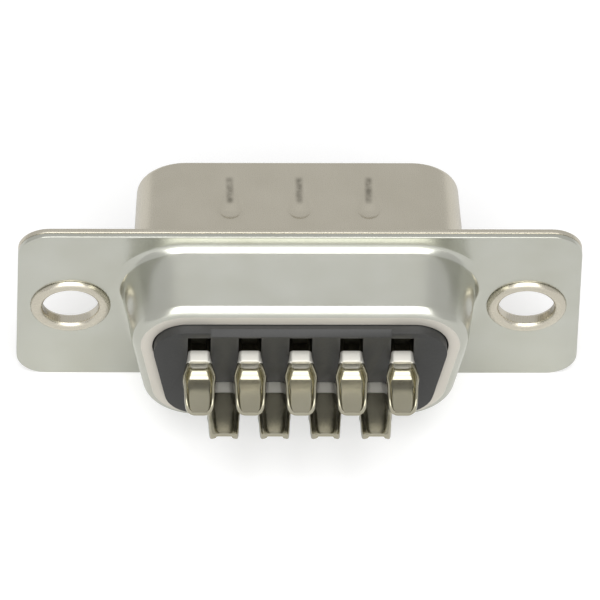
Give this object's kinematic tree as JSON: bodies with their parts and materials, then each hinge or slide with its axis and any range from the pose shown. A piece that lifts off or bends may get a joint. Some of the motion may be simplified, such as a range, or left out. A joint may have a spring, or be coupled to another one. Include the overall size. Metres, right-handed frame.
{
  "type": "d-sub connector",
  "caption": "D-sub panel plug with pins in a D-shaped sheath, a two-hole flange, a black insulator and open solder cups in two staggered rows at the rear.",
  "frame": {"origin": "centre of the two mounting holes on the flange's front face", "axes": "+Y out of the mating side, along the pins; +Z towards the long side of the D and the row of five; +X along the flange's length"},
  "size_m": [0.0308, 0.0146, 0.0126],
  "materials": {
    "shell_plate": "bright plated",
    "insulator_plastic": "moulded black",
    "contact_plate": "bright tin plated"
  },
  "bodies": {
    "root": {"front_shell": "shell_plate", "rear_shell": "shell_plate", "front_insulator": "insulator_plastic", "rear_insulator": "insulator_plastic", "contact_1": "contact_plate", "contact_2": "contact_plate", "contact_3": "contact_plate", "contact_4": "contact_plate", "contact_5": "contact_plate", "contact_6": "contact_plate", "contact_7": "contact_plate", "contact_8": "contact_plate", "contact_9": "contact_plate"}
  },
  "joints": []
}
